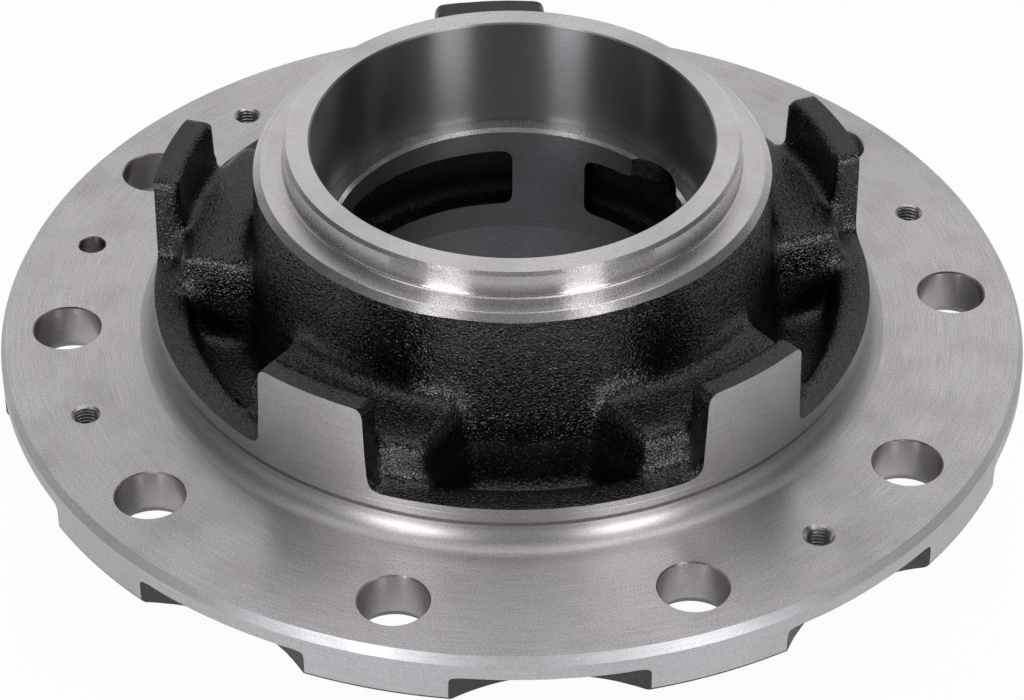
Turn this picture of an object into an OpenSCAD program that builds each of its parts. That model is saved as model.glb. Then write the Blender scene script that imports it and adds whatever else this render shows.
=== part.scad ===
/* [Wheel flange] */
// Diameter of the circle on which the wheel studs stand
stud_circle_d = 335; // [320:1:345]
// Number of wheel studs
stud_count = 10; // [8:2:12]
// Diameter of a stud hole
stud_hole_d = 25; // [20:0.5:30]
// Chamfer of a stud hole at the face with the lugs
stud_hole_chamfer = 0.5; // [0.3:0.1:1.5]
// Diameter of a stud hole's countersink at the wheel's side
stud_sink_d = 29.2; // [26:0.2:34]
// Depth of a stud hole's countersink at the wheel's side
stud_sink_depth = 3.6; // [1:0.2:6]
// Metal between a stud hole and the turned rim
rim_margin = 12.4; // [10:0.2:20]
// Thickness of the flange at the studs
flange_t = 20; // [16:0.5:24]
// Thickness of the rim above the scallops between the studs
rim_t = 9.1; // [7:0.1:12]
// Radius of the scallops cast into the underside of the rim
rim_scallop_r = 65; // [50:1:80]
// How deep the scallops reach in from the rim
rim_scallop_in = 13.2; // [8:0.2:16]
// How far the bevel at the rim reaches in over the face
rim_bevel_in = 1.9; // [1:0.1:3]
// How far the bevel at the rim reaches down the side
rim_bevel_drop = 3.6; // [2:0.1:5]
// Radius of the cast rounding under the rim at a stud
rim_foot_r = 1.5; // [0.5:0.1:3]

/* [Screw and dowel holes] */
// Tapping diameter of the four threaded holes
screw_hole_d = 8.5; // [6.8:0.1:10.2]
// Diameter of the countersink over a threaded hole
screw_sink_d = 10.8; // [10.4:0.1:13]
// Diameter of the single plain hole
dowel_hole_d = 10.2; // [8:0.1:14]

/* [Pilot ring] */
// Diameter turned on the pilot ring and on the lugs
pilot_d = 267.8; // [260:0.2:274]
// Height of the pilot ring above the flange face
pilot_h = 16.2; // [13:0.2:20]
// Wall of the pilot ring at its top
pilot_wall = 12.1; // [9:0.1:15]
// Radius of the fillet between pilot and flange face
pilot_fillet = 7.5; // [4:0.5:9]
// Height of the groove that ends the pilot
groove_h = 2; // [1.2:0.1:2.4]
// Depth of the groove that ends the pilot
groove_depth = 1.7; // [1:0.1:2.5]

/* [Lugs] */
// Number of lugs, each with a web behind it
lug_count = 5; // [4:1:6]
// Height of the lug tops above the flange face
lug_top = 52; // [44:0.5:60]
// Width of a lug across its turned face, at the top
lug_w = 43.6; // [34:0.2:50]
// Radial thickness of a lug at its top
lug_t = 9.7; // [8:0.1:12]
// Draft of a lug's sides and back, in degrees
lug_draft = 2.3; // [1:0.1:4]
// Rounding of a lug's upper corners
lug_corner_r = 3; // [1.5:0.5:6]

/* [Webs] */
// Width of a web at its top
web_w = 74; // [62:1:84]
// Height of the web tops above the flange face
web_top = 32.5; // [27:0.5:40]
// How far a web's outer face stands in from the pilot diameter
web_setback = 10.2; // [8:0.1:12]
// Rounding of a web's upper edges
web_edge_r = 5.5; // [3:0.5:8]
// Rounding of a web's upright corners
web_corner_r = 9; // [5:0.5:14]
// Radius of the fillet between a web's top and the barrel
web_fillet = 5; // [3:0.5:8]

/* [Barrel and seal collar] */
// Diameter of the cast barrel just under the turned shoulder
barrel_d = 190; // [186:0.2:196]
// Draft of the cast barrel, in degrees
barrel_draft = 2; // [0.5:0.1:3]
// Radius of the fillet at the barrel's foot
barrel_fillet = 9; // [5:0.5:11]
// Floor of the cast trough, measured down from the flange face
trough_drop = 4; // [0:0.5:7]
// Height of the seal collar's end face above the flange face
collar_top = 80.6; // [77:0.2:90]
// Diameter of the seal collar
collar_d = 167.6; // [162:0.2:172]
// Height of the seal collar above the shoulder round it
collar_h = 10.3; // [7:0.1:14]
// Chamfer at the outer edge of the collar
collar_chamfer = 1.2; // [0.6:0.1:2]
// Chamfer at the outer edge of the shoulder
shoulder_chamfer = 2.4; // [1:0.1:3.5]

/* [Inboard bearing bore] */
// Diameter of the inboard bearing seat
seat_d = 148; // [142:0.5:152]
// Depth of the inboard bearing seat
seat_depth = 44.5; // [38:0.5:50]
// Diameter of the bore between the bearings
mid_bore_d = 134.4; // [126:0.2:137]
// Where the bore starts to narrow, measured down from the flange face
mid_bore_drop = 10; // [6:0.5:14]

/* [Cast pockets in the bore] */
// Number of pockets round the bore
pocket_count = 4; // [3:1:5]
// Width of the pillars between the pockets, in degrees
pillar_arc = 24.5; // [18:0.5:32]
// Direction of the first pillar, in degrees
pillar_turn = 91.75; // [86:0.25:98]
// Lower edge of the pockets above the flange face
pocket_low = 0.8; // [-2:0.2:6]
// Height of the pockets
pocket_h = 25.2; // [18:0.2:28]
// Depth of the pockets behind the bore
pocket_depth = 9.8; // [6:0.2:14]
// Rounding of a pocket's corners
pocket_r = 3.2; // [2:0.2:4]
// Radius of the two scallops that uncover the bearing's outer ring
scallop_r = 20; // [14:0.5:24]
// How far a scallop stays short of the bearing seat
scallop_inset = 2.5; // [1.5:0.1:4]
// Direction of the first scallop, in degrees
scallop_turn = 49; // [42:1:54]

/* [Outboard side] */
// Diameter of the spigot that centres the wheel
spigot_d = 281; // [276:0.1:288]
// Height of the spigot beyond the flange
spigot_h = 9; // [6:0.5:14]
// Wall of the spigot's ring
spigot_wall = 15.5; // [10:0.5:22]
// Thickness of the cast disc between trough and outboard recess
disc_t = 16; // [12:0.5:18]
// Distance from the flange face to the end of the nose
nose_drop = 78; // [74:0.5:92]
// Diameter of the nose at its end
nose_d = 164; // [156:1:172]
// Draft of the nose, in degrees
nose_draft = 6.5; // [2:0.5:9]
// Diameter of the outboard bearing seat
out_seat_d = 120; // [116:0.5:126]
// Length of the outboard bearing seat
out_seat_len = 32; // [26:0.5:36]
// Height of the shoulder that carries the outboard bearing
out_shoulder = 4; // [2.5:0.5:6]
// Diameter of the recess for the hub cap
cap_d = 136; // [130:1:144]
// Depth of the recess for the hub cap
cap_depth = 12; // [8:0.5:14]

/* [Hidden] */
$fn = 96;

// Metal left on the casting where a tool will turn it
allowance = 3;
// How far a cutter runs past the metal
past = 6;
// Steps in a quarter of a profile's arc
steps = 6;

flange_r = (stud_circle_d + stud_hole_d) / 2 + rim_margin;
pilot_r = pilot_d / 2;
web_out_r = pilot_r - web_setback;
lug_in_r = pilot_r - lug_t;
collar_low = collar_top - collar_h;
seat_low = collar_top - seat_depth;
floor_z = -trough_drop;
disc_low = floor_z - disc_t;
spigot_low = -flange_t - spigot_h;
groove_low = pilot_fillet + 0.8;
neck_r = out_seat_d / 2 - out_shoulder;
seat_chamfer = 0.6;
relief = 0.5;
// Radius of the barrel where its foot fillet starts
barrel_foot_r = barrel_d / 2 + (collar_low - shoulder_chamfer - floor_z - barrel_fillet) * tan(barrel_draft);
// Radius of the nose where it meets the disc
nose_root_r = nose_d / 2 + (nose_drop + disc_low) * tan(nose_draft);
cast_colour = "#1b1b1d";
turned_colour = "#b9b2ae";
bore_colour = "#5c5856";

// Points of an arc round [x, y], from angle a to angle b
function arc(x, y, r, a, b) =
    [for (i = [0:steps]) let (t = a + (b - a) * i / steps) [x + r * cos(t), y + r * sin(t)]];

// Turns a radius-height outline into a solid of revolution
module turned(points) {
    rotate_extrude() polygon(points);
}

// Places its children round the hub, the first one at angle first
module around(count, first) {
    for (k = [0:count - 1]) rotate(first + k * 360 / count) children();
}

// Extrudes a width-height outline outward along the X axis
module outward(points, from, to) {
    translate([from, 0, 0]) rotate([90, 0, 90]) linear_extrude(to - from) polygon(points);
}

// Barrel, trough, pilot ring and flange disc as cast
module cast_rings() {
    in_r = neck_r - allowance;
    wall_r = pilot_r - pilot_wall;
    wall_draft = 1;
    wall_fillet = 6;
    lip_r = 2;
    ring_r = spigot_d / 2 - spigot_wall;
    under_r = 6;
    turned(concat(
        [[in_r, collar_top + allowance], [barrel_d / 2, collar_top + allowance]],
        [[barrel_d / 2, collar_low - shoulder_chamfer]],
        arc(barrel_foot_r + barrel_fillet, floor_z + barrel_fillet, barrel_fillet, 180, 270),
        arc(wall_r - wall_draft - wall_fillet, floor_z + wall_fillet, wall_fillet, 270, 360),
        arc(wall_r + lip_r, pilot_h - lip_r, lip_r, 180, 90),
        [[pilot_r + allowance, pilot_h], [pilot_r + allowance, pilot_fillet + allowance]],
        [[pilot_r + pilot_fillet + allowance, allowance], [flange_r + allowance, allowance]],
        [[flange_r + allowance, -flange_t - allowance], [spigot_d / 2 + allowance, -flange_t - allowance]],
        [[spigot_d / 2 + allowance, spigot_low - allowance], [ring_r + 1, spigot_low - allowance]],
        arc(ring_r - under_r, disc_low - under_r, under_r, 0, 90),
        arc(nose_root_r + under_r, disc_low - under_r, under_r, 90, 180),
        [[nose_d / 2, -nose_drop - allowance], [in_r, -nose_drop - allowance]]
    ));
}

// Outline of a web or of its root, seen along the web: rounded above, spread below
function web_outline(half, top, r, spread, low) = concat(
    [[-half - spread, low], [half + spread, low]],
    arc(half - r, top - r, r, 0, 90),
    arc(-half + r, top - r, r, 90, 180)
);

// Web that ties one lug to the barrel
module web() {
    half = web_w / 2;
    root_r = barrel_d / 2 - past;
    slope = 1.2;
    foot = 3;
    low = floor_z - 2;
    spread = 3;
    face_r = web_out_r + foot;
    corner = half + spread - web_corner_r;
    intersection() {
        turned(concat(
            [[root_r, low], [web_out_r + foot + 1, low], [web_out_r + foot + 1, pilot_h - 1]],
            arc(web_out_r + 1 + foot, pilot_h + foot, foot, 270, 180),
            arc(web_out_r - web_edge_r, web_top - slope - web_edge_r, web_edge_r, 0, 90),
            [[root_r, web_top]]
        ));
        outward(web_outline(half, web_top, web_edge_r, spread, low), root_r, face_r + foot);
        translate([0, 0, low]) linear_extrude(web_top - low + 1) polygon(concat(
            [[root_r - past, -half - spread]],
            arc(face_r - web_corner_r, -corner, web_corner_r, -90, 0),
            arc(face_r - web_corner_r, corner, web_corner_r, 0, 90),
            [[root_r - past, half + spread]]
        ));
    }
}

// Fillet between the barrel and the top of one web
module web_root() {
    r = web_fillet;
    wall_r = barrel_d / 2 + (collar_low - web_top - r) * tan(barrel_draft);
    in_r = wall_r - past;
    sink = 1;
    top = web_top + r;
    root_z = top - 0.3 * sink;
    intersection() {
        turned(concat(
            [[in_r, web_top - sink], [wall_r + r, web_top - sink]],
            arc(wall_r + r, root_z, r, 270, 180),
            [[in_r, root_z]]
        ));
        outward(web_outline(web_w / 2 - sink, top, 2 * r, 0, web_top - 2 * sink), wall_r / 2, wall_r + 2 * r);
    }
}

// One lug as cast, with metal left on its outer face
module lug() {
    low = pilot_h - 4;
    half = lug_w / 2;
    lean = (lug_top - low) * tan(lug_draft);
    edge_r = 1.6;
    side_angle = asin((half + lean) / pilot_r);
    reach = pilot_r + allowance;
    intersection() {
        turned(concat(
            [[lug_in_r - lean, low], [reach, low], [reach, lug_top]],
            arc(lug_in_r + edge_r, lug_top - edge_r, edge_r, 90, 180)
        ));
        outward(concat(
            [[-half - lean, low], [half + lean, low]],
            arc(half - lug_corner_r, lug_top - lug_corner_r, lug_corner_r, 0, 90),
            arc(-half + lug_corner_r, lug_top - lug_corner_r, lug_corner_r, 90, 180)
        ), lug_in_r - past, reach + 1);
        linear_extrude(lug_top + 1) polygon([
            [0, 0],
            2 * reach * [cos(side_angle), -sin(side_angle)],
            2 * reach * [cos(side_angle), sin(side_angle)]
        ]);
    }
}

// Scallop that the mould leaves under the rim between two studs
module rim_scallop() {
    deep = flange_t - rim_t + allowance + past;
    translate([flange_r - rim_scallop_in + rim_scallop_r, 0, -rim_t - deep])
        cylinder(r = rim_scallop_r, h = deep, $fn = 2 * $fn);
}

// The whole rough casting
module casting() {
    color(cast_colour) {
        difference() {
            cast_rings();
            around(stud_count, 0) rim_scallop();
        }
        around(lug_count, 180 / lug_count) {
            web();
            web_root();
            lug();
        }
    }
}

// Metal turned off the inboard end: collar, shoulder and its bevel
module collar_cut() {
    r = collar_d / 2;
    foot = 1.2;
    run = 4;
    color(turned_colour) turned(concat(
        [[seat_d / 2 - past, collar_top], [r - collar_chamfer, collar_top]],
        [[r, collar_top - collar_chamfer]],
        arc(r + foot, collar_low + foot, foot, 180, 270),
        [[barrel_d / 2 - shoulder_chamfer, collar_low]],
        [[barrel_d / 2 + run, collar_low - shoulder_chamfer - run]],
        [[barrel_d / 2 + 2 * past, collar_low - shoulder_chamfer - run]],
        [[barrel_d / 2 + 2 * past, collar_top + past], [seat_d / 2 - past, collar_top + past]]
    ));
}

// Metal turned off the lugs, pilot, flange face and rim
module face_cut() {
    out = flange_r + allowance + past;
    slant = 0.4;
    foot_r = pilot_r - 0.3;
    color(turned_colour) turned(concat(
        [[pilot_r, lug_top + past], [pilot_r, groove_low + groove_h]],
        [[pilot_r - groove_depth, groove_low + groove_h - slant]],
        [[pilot_r - groove_depth, groove_low + slant], [foot_r, groove_low]],
        arc(foot_r + pilot_fillet, pilot_fillet, pilot_fillet, 180, 270),
        [[flange_r - rim_bevel_in, 0], [flange_r, -rim_bevel_drop]],
        [[flange_r, spigot_low - past], [out, spigot_low - past], [out, lug_top + past]]
    ));
}

// Metal turned off the outboard faces: flange, wheel spigot and nose
module outboard_cut() {
    r = spigot_d / 2;
    bevel = 1.5;
    ring_r = r - spigot_wall - past;
    end_r = nose_d / 2 - bevel;
    color(turned_colour) {
        turned(concat(
            [[ring_r, spigot_low], [r - bevel, spigot_low], [r, spigot_low + bevel], [r, -flange_t]],
            arc(flange_r - rim_foot_r, -flange_t + rim_foot_r, rim_foot_r, 270, 360),
            [[flange_r + past, -flange_t + rim_foot_r]],
            [[flange_r + past, spigot_low - past], [ring_r, spigot_low - past]]
        ));
        turned([
            [neck_r - past, -nose_drop], [end_r, -nose_drop],
            [end_r + bevel + past, -nose_drop + bevel + past], [end_r + bevel + past, -nose_drop - past],
            [neck_r - past, -nose_drop - past]
        ]);
    }
}

// The bored inside: both bearing seats and the bore between them
module bore_cut() {
    r = seat_d / 2;
    mid_r = mid_bore_d / 2;
    edge = 1.3;
    neck_len = 5;
    seat2_r = out_seat_d / 2;
    cap_r = cap_d / 2;
    cap_chamfer = 1;
    seat2_low = -nose_drop + cap_depth;
    seat2_top = seat2_low + out_seat_len;
    color(bore_colour) turned([
        [0, collar_top + past], [r + seat_chamfer + past, collar_top + past],
        [r, collar_top - seat_chamfer], [r, seat_low + 4 * relief],
        [r + relief, seat_low + 3 * relief], [r + relief, seat_low],
        [mid_r + edge, seat_low], [mid_r, seat_low - edge],
        [mid_r, -mid_bore_drop], [neck_r, seat2_top + neck_len],
        [neck_r, seat2_top + relief], [neck_r + relief, seat2_top],
        [seat2_r, seat2_top], [seat2_r, seat2_low + relief], [seat2_r + relief, seat2_low],
        [cap_r, seat2_low], [cap_r, -nose_drop + cap_chamfer],
        [cap_r + cap_chamfer + past, -nose_drop - past],
        [0, -nose_drop - past]
    ]);
}

// Pillar that is left between two pockets, flared where it meets their floor and roof
module pillar() {
    r = pocket_r;
    half = mid_bore_d / 2 * sin(pillar_arc / 2);
    top = pocket_low + pocket_h;
    outward(concat(
        [[-half - r, pocket_low - 1], [half + r, pocket_low - 1]],
        arc(half + r, pocket_low + r, r, 270, 180),
        arc(half + r, top - r, r, 180, 90),
        [[half + r, top + 1], [-half - r, top + 1]],
        arc(-half - r, top - r, r, 90, 0),
        arc(-half - r, pocket_low + r, r, 0, -90)
    ), mid_bore_d / 2 - 2 * past, mid_bore_d / 2 + pocket_depth + past);
}

// Pockets and the two scallops that break the bearing's shoulder
module bore_pockets() {
    in_r = mid_bore_d / 2 - past;
    out_r = mid_bore_d / 2 + pocket_depth;
    r = 1.37 * pocket_r;
    top = pocket_low + pocket_h;
    reach = seat_d / 2 - scallop_inset;
    middle = pocket_low + pocket_h / 2;
    color(cast_colour) {
        difference() {
            turned(concat(
                [[in_r, pocket_low]],
                arc(out_r - r, pocket_low + r, r, 270, 360),
                arc(out_r - r, top - r, r, 0, 90),
                [[in_r, top]]
            ));
            around(pocket_count, pillar_turn) pillar();
        }
        around(2, scallop_turn) translate([reach - scallop_r, 0, middle])
            cylinder(r = scallop_r, h = seat_low + 2 - middle);
    }
}

// Hole drilled through the flange, chamfered above and countersunk below
module drilled(d, chamfer, sink_d, sink_depth) {
    r = d / 2;
    slope = (sink_d / 2 - r) / sink_depth;
    color(turned_colour) translate([0, 0, -flange_t - past]) {
        cylinder(r = r, h = flange_t + 2 * past);
        cylinder(r1 = sink_d / 2 + slope * past, r2 = r, h = sink_depth + past);
        translate([0, 0, flange_t + past - chamfer]) cylinder(r1 = r, r2 = r + 2 * chamfer, h = 2 * chamfer);
    }
}

// Stud holes, threaded holes and the plain hole, all on the stud circle
module flange_holes() {
    r = stud_circle_d / 2;
    screw_step = 360 / stud_count;
    sink = (screw_sink_d - screw_hole_d) / 2;
    dowel_chamfer = 0.3;
    around(stud_count, 180 / stud_count)
        translate([r, 0, 0]) drilled(stud_hole_d, stud_hole_chamfer, stud_sink_d, stud_sink_depth);
    for (turn = [-screw_step, screw_step, 180 - screw_step, 180 + screw_step])
        rotate(turn) translate([r, 0, 0]) drilled(screw_hole_d, sink, screw_sink_d, sink);
    rotate(180) translate([r, 0, 0])
        drilled(dowel_hole_d, dowel_chamfer, dowel_hole_d + 2 * dowel_chamfer, dowel_chamfer);
}

// Wheel hub: one casting, turned, bored and drilled
module hub() {
    difference() {
        casting();
        collar_cut();
        face_cut();
        outboard_cut();
        bore_cut();
        bore_pockets();
        flange_holes();
    }
}

hub();
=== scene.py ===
"""Looks of a heavy truck's wheel hub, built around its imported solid.

The hub is made the way the real one is. A rough casting is moulded with its webs, lugs and cored
pockets, gets the waviness and grain of a sand mould, and is then turned, bored, drilled and tapped
by cutters, so that the black paint ends where a tool has cut through it. Sizes are in millimetres.
"""

import logging
import math
from collections.abc import Iterable
from dataclasses import dataclass, field
from enum import Enum

import bmesh
import bpy
import numpy as np
from mathutils import Matrix, Vector, noise


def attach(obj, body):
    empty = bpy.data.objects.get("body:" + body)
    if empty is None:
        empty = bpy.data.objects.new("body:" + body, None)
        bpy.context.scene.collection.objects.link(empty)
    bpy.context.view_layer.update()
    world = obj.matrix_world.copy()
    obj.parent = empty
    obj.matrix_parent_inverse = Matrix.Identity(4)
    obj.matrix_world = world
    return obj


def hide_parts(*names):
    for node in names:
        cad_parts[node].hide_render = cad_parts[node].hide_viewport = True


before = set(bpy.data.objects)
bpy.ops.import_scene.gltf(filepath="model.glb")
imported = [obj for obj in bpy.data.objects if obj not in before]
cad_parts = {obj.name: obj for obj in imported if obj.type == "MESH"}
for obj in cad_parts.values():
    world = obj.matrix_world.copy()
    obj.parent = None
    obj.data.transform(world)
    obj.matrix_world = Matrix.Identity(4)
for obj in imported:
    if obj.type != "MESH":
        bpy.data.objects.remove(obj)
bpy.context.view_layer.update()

MM = 0.001
Point = tuple[float, float]
Colour = tuple[float, float, float]
log = logging.getLogger("wheel_hub")


class Skin(Enum):
    """Finishes on the hub, in the order of its material slots."""

    PAINTED = 0
    FACED = 1
    GUIDE = 2
    COLLAR = 3
    BORED = 4
    DRILLED = 5
    DULLED = 6
    RIM = 7


class Join(Enum):
    """What a boolean does with the tool."""

    ADD = "UNION"
    CUT = "DIFFERENCE"
    KEEP = "INTERSECT"


# ---------------------------------------------------------------- shader nodes


class Value:
    """A node's output socket, on which Python arithmetic adds Math nodes."""

    def __init__(self, graph: "Graph", socket: bpy.types.NodeSocket) -> None:
        """Keeps the socket and the graph that it belongs to."""
        self.graph = graph
        self.socket = socket

    def __add__(self, other: "Value | float") -> "Value":
        """Adds two values."""
        return self.graph.math("ADD", self, other)

    def __radd__(self, other: float) -> "Value":
        """Adds a value to a number."""
        return self.graph.math("ADD", other, self)

    def __sub__(self, other: "Value | float") -> "Value":
        """Subtracts from the value."""
        return self.graph.math("SUBTRACT", self, other)

    def __rsub__(self, other: float) -> "Value":
        """Subtracts the value from a number."""
        return self.graph.math("SUBTRACT", other, self)

    def __mul__(self, other: "Value | float") -> "Value":
        """Multiplies two values."""
        return self.graph.math("MULTIPLY", self, other)

    def __rmul__(self, other: float) -> "Value":
        """Multiplies a number by the value."""
        return self.graph.math("MULTIPLY", other, self)


class Graph:
    """The node tree of one material or of the world."""

    def __init__(self, tree: bpy.types.NodeTree) -> None:
        """Empties the tree."""
        self.tree = tree
        tree.nodes.clear()

    def add(
        self, kind: str, settings: dict | None = None, sockets: dict | None = None, output: int = 0
    ) -> Value:
        """Adds a node.

        Args:
            kind: the node's type.
            settings: its properties, set first; "stops" holds a colour ramp's stops.
            sockets: values or links of its input sockets, by name or number.
            output: number of the output socket to hand back.

        Returns:
            The node's output.
        """
        node = self.tree.nodes.new(kind)
        for key, setting in (settings or {}).items():
            if key == "stops":
                self._set_stops(node.color_ramp, setting)
            else:
                setattr(node, key, setting)
        for key, content in (sockets or {}).items():
            if isinstance(content, Value):
                self.tree.links.new(content.socket, node.inputs[key])
            else:
                node.inputs[key].default_value = content
        return Value(self, node.outputs[output] if len(node.outputs) else None)

    @staticmethod
    def _set_stops(ramp: bpy.types.ColorRamp, stops: list[tuple[float, float]]) -> None:
        """Puts grey stops, as (place, level), on a colour ramp."""
        while len(ramp.elements) < len(stops):
            ramp.elements.new(1.0)
        for element, (place, level) in zip(ramp.elements, stops):
            element.position = place
            element.color = (level, level, level, 1.0)

    def math(self, operation: str, a: Value | float, b: Value | float = 0.0) -> Value:
        """Adds a Math node on one or two values."""
        return self.add("ShaderNodeMath", {"operation": operation}, {0: a, 1: b})

    def ramp(self, value: Value, stops: list[tuple[float, float]]) -> Value:
        """Maps a value through the stops of a ramp."""
        return self.add("ShaderNodeValToRGB", {"stops": stops}, {0: value})

    def noise(self, place: Value, scale: float, detail: float = 2.0, rough: float = 0.5) -> Value:
        """Adds a noise field of a scale per metre."""
        sockets = {"Vector": place, "Scale": scale, "Detail": detail, "Roughness": rough}
        return self.add("ShaderNodeTexNoise", None, sockets)

    def blend(self, share: Value | float, a: Colour | Value, b: Colour | Value) -> Value:
        """Mixes two colours."""
        ends = [end if isinstance(end, Value) else (*end, 1.0) for end in (a, b)]
        sockets = {0: share, 6: ends[0], 7: ends[1]}
        return self.add("ShaderNodeMix", {"data_type": "RGBA"}, sockets, 2)

    def bump(self, height: Value, depth_mm: float, below: Value | None = None) -> Value:
        """Adds a bump of a depth in millimetres, on top of another bump."""
        sockets = {"Strength": 1.0, "Distance": depth_mm * MM, "Height": height}
        if below is not None:
            sockets["Normal"] = below
        return self.add("ShaderNodeBump", None, sockets)

    def step(self, value: Value, start: float, end: float, ends: Point = (0.0, 1.0)) -> Value:
        """Goes smoothly from one level to another while a value goes from start to end."""
        sockets = {0: value, 1: start, 2: end, 3: ends[0], 4: ends[1]}
        return self.add("ShaderNodeMapRange", {"interpolation_type": "SMOOTHSTEP"}, sockets)

    def vector_math(self, operation: str, *inputs: Value | Colour, output: int = 0) -> Value:
        """Adds a Vector Math node on its inputs."""
        sockets = dict(enumerate(inputs))
        return self.add("ShaderNodeVectorMath", {"operation": operation}, sockets, output)

    def facets(self, place: Value, size_mm: float, tilt: float, normal: Value) -> Value:
        """Tilts a normal at random in small cells, as grains do that catch the light one by one.

        Args:
            place: where on the surface.
            size_mm: size of a cell.
            tilt: how far the cells lean, as a share of the normal's length.
            normal: the normal before.

        Returns:
            The tilted normal, one unit long.
        """
        sockets = {"Vector": place, "Scale": 1 / (size_mm * MM)}
        cells = self.add("ShaderNodeTexVoronoi", {"feature": "F1"}, sockets, 1)
        lean = self.vector_math("SUBTRACT", cells, (0.5, 0.5, 0.5))
        tilted = self.vector_math("MULTIPLY_ADD", lean, (tilt, tilt, tilt), normal)
        return self.vector_math("NORMALIZE", tilted)

    def parts(self, vector: Value) -> tuple[Value, Value, Value]:
        """Takes a vector apart."""
        node = self.add("ShaderNodeSeparateXYZ", None, {0: vector}).socket.node
        return tuple(Value(self, node.outputs[axis]) for axis in range(3))

    def place(self) -> Value:
        """Object coordinates, in metres in the hub's frame."""
        return self.add("ShaderNodeTexCoord", None, None, 3)

    def lathe_place(self, along: float) -> tuple[Value, Value, Value]:
        """Coordinates that follow a lathe's tool marks.

        Args:
            along: how fast the marks change along their length.

        Returns:
            A vector of radius, height and turn, and the radius and the height by themselves.
        """
        x, y, z = self.parts(self.place())
        radius = self.math("SQRT", x * x + y * y)
        turn = self.math("ARCTAN2", y, x)
        vector = self.add("ShaderNodeCombineXYZ", None, {0: radius, 1: z, 2: turn * along})
        return vector, radius, z


def new_material(name: str) -> tuple[bpy.types.Material, Graph]:
    """Creates a material with an empty node tree."""
    material = bpy.data.materials.new(name)
    material.use_nodes = True
    return material, Graph(material.node_tree)


@dataclass(frozen=True)
class CastPaint:
    """Satin black paint over the grain of a sand casting."""

    name: str = "black_paint_on_casting"
    colour: Colour = (0.0016, 0.0016, 0.0018)
    worn_colour: Colour = (0.005, 0.005, 0.0056)
    roughness: float = 0.15
    patch_roughness: float = 0.2
    dust_roughness: float = 0.2
    grain_mm: float = 0.9
    grain_depth: float = 0.17
    pimple_scale: float = 2.1
    pimple_depth: float = 0.09
    patch_scale: float = 55.0
    facet_mm: float = 0.62
    facet_tilt: float = 0.28

    def material(self) -> bpy.types.Material:
        """Builds the paint: grain, finer pimples, thin spots and dust in the trough."""
        material, graph = new_material(self.name)
        place = graph.place()
        grain = graph.noise(place, 1 / (self.grain_mm * MM), 1.0, 0.5)
        pimples = graph.noise(place, self.pimple_scale / (self.grain_mm * MM), 1.0, 0.5)
        patches = graph.noise(place, self.patch_scale, 3.0, 0.6)
        _, radius, height = graph.lathe_place(0.0)
        low_down = graph.ramp(height * 10, [(0.14, 1.0), (0.19, 0.0)])
        inside = graph.ramp(radius * 5, [(0.59, 1.0), (0.62, 0.0)])
        ridges = graph.ramp(grain, [(0.30, 0.0), (0.72, 1.0)])
        normal = graph.bump(ridges, self.grain_depth)
        normal = graph.bump(pimples, self.pimple_depth, normal)
        normal = graph.facets(place, self.facet_mm, self.facet_tilt, normal)
        thin = graph.ramp(patches * 0.6 + grain * 0.4, [(0.52, 0.0), (0.72, 0.8)])
        rough = self.roughness + (patches - 0.5) * self.patch_roughness
        shader = graph.add(
            "ShaderNodeBsdfPrincipled",
            None,
            {
                "Base Color": graph.blend(thin, self.colour, self.worn_colour),
                "Roughness": rough + low_down * inside * self.dust_roughness,
                "Normal": normal,
                "IOR": 1.6,
            },
        )
        graph.add("ShaderNodeOutputMaterial", None, {"Surface": shader})
        return material


@dataclass(frozen=True)
class TurnedIron:
    """Bare grey iron, with the concentric marks of the tool that turned it."""

    name: str
    colour: Colour = (0.78, 0.745, 0.78)
    stain: Colour = (0.61, 0.575, 0.565)
    stain_share: float = 0.5
    roughness: float = 0.33
    grooving: float = 0.9
    line_mm: float = 0.5
    line_depth: float = 0.012
    speckle_mm: float = 0.55
    speckle_depth: float = 0.014
    speckle_tone: float = 0.42
    cloud_scale: float = 38.0
    cloud_roughness: float = 0.16
    speckle_roughness: float = 0.14

    def material(self) -> bpy.types.Material:
        """Builds the iron: tool marks, the speckle of its graphite and faint stains."""
        material, graph = new_material(self.name)
        marks, _, _ = graph.lathe_place(0.004)
        place = graph.place()
        lines = graph.noise(marks, 1 / (self.line_mm * MM), 3.0, 0.65)
        speckle = graph.noise(place, 1 / (self.speckle_mm * MM), 2.0, 0.6)
        clouds = graph.noise(place, self.cloud_scale, 4.0, 0.6)
        stained = graph.ramp(clouds, [(0.46, 0.0), (0.72, 1.0)])
        tone = graph.blend(stained * self.stain_share, self.colour, self.stain)
        dark = (0.9 * (1 - self.speckle_tone),) * 3
        grey = graph.ramp(speckle * 0.7 + lines * 0.3, [(0.36, 0.0), (0.62, 1.0)])
        shade = graph.blend(grey, dark, (1.0, 1.0, 1.0))
        multiply = {"data_type": "RGBA", "blend_type": "MULTIPLY"}
        tone = graph.add("ShaderNodeMix", multiply, {0: 1.0, 6: tone, 7: shade}, 2)
        rough = self.roughness + (clouds - 0.5) * self.cloud_roughness
        rough = rough + (speckle - 0.5) * self.speckle_roughness
        normal = graph.bump(lines, self.line_depth)
        normal = graph.bump(speckle, self.speckle_depth, normal)
        shader = graph.add(
            "ShaderNodeBsdfPrincipled",
            None,
            {
                "Base Color": tone,
                "Metallic": 1.0,
                "Roughness": rough,
                "Anisotropic": self.grooving,
                "Anisotropic Rotation": 0.25,
                "Normal": normal,
            },
        )
        graph.add("ShaderNodeOutputMaterial", None, {"Surface": shader})
        return material


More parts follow.
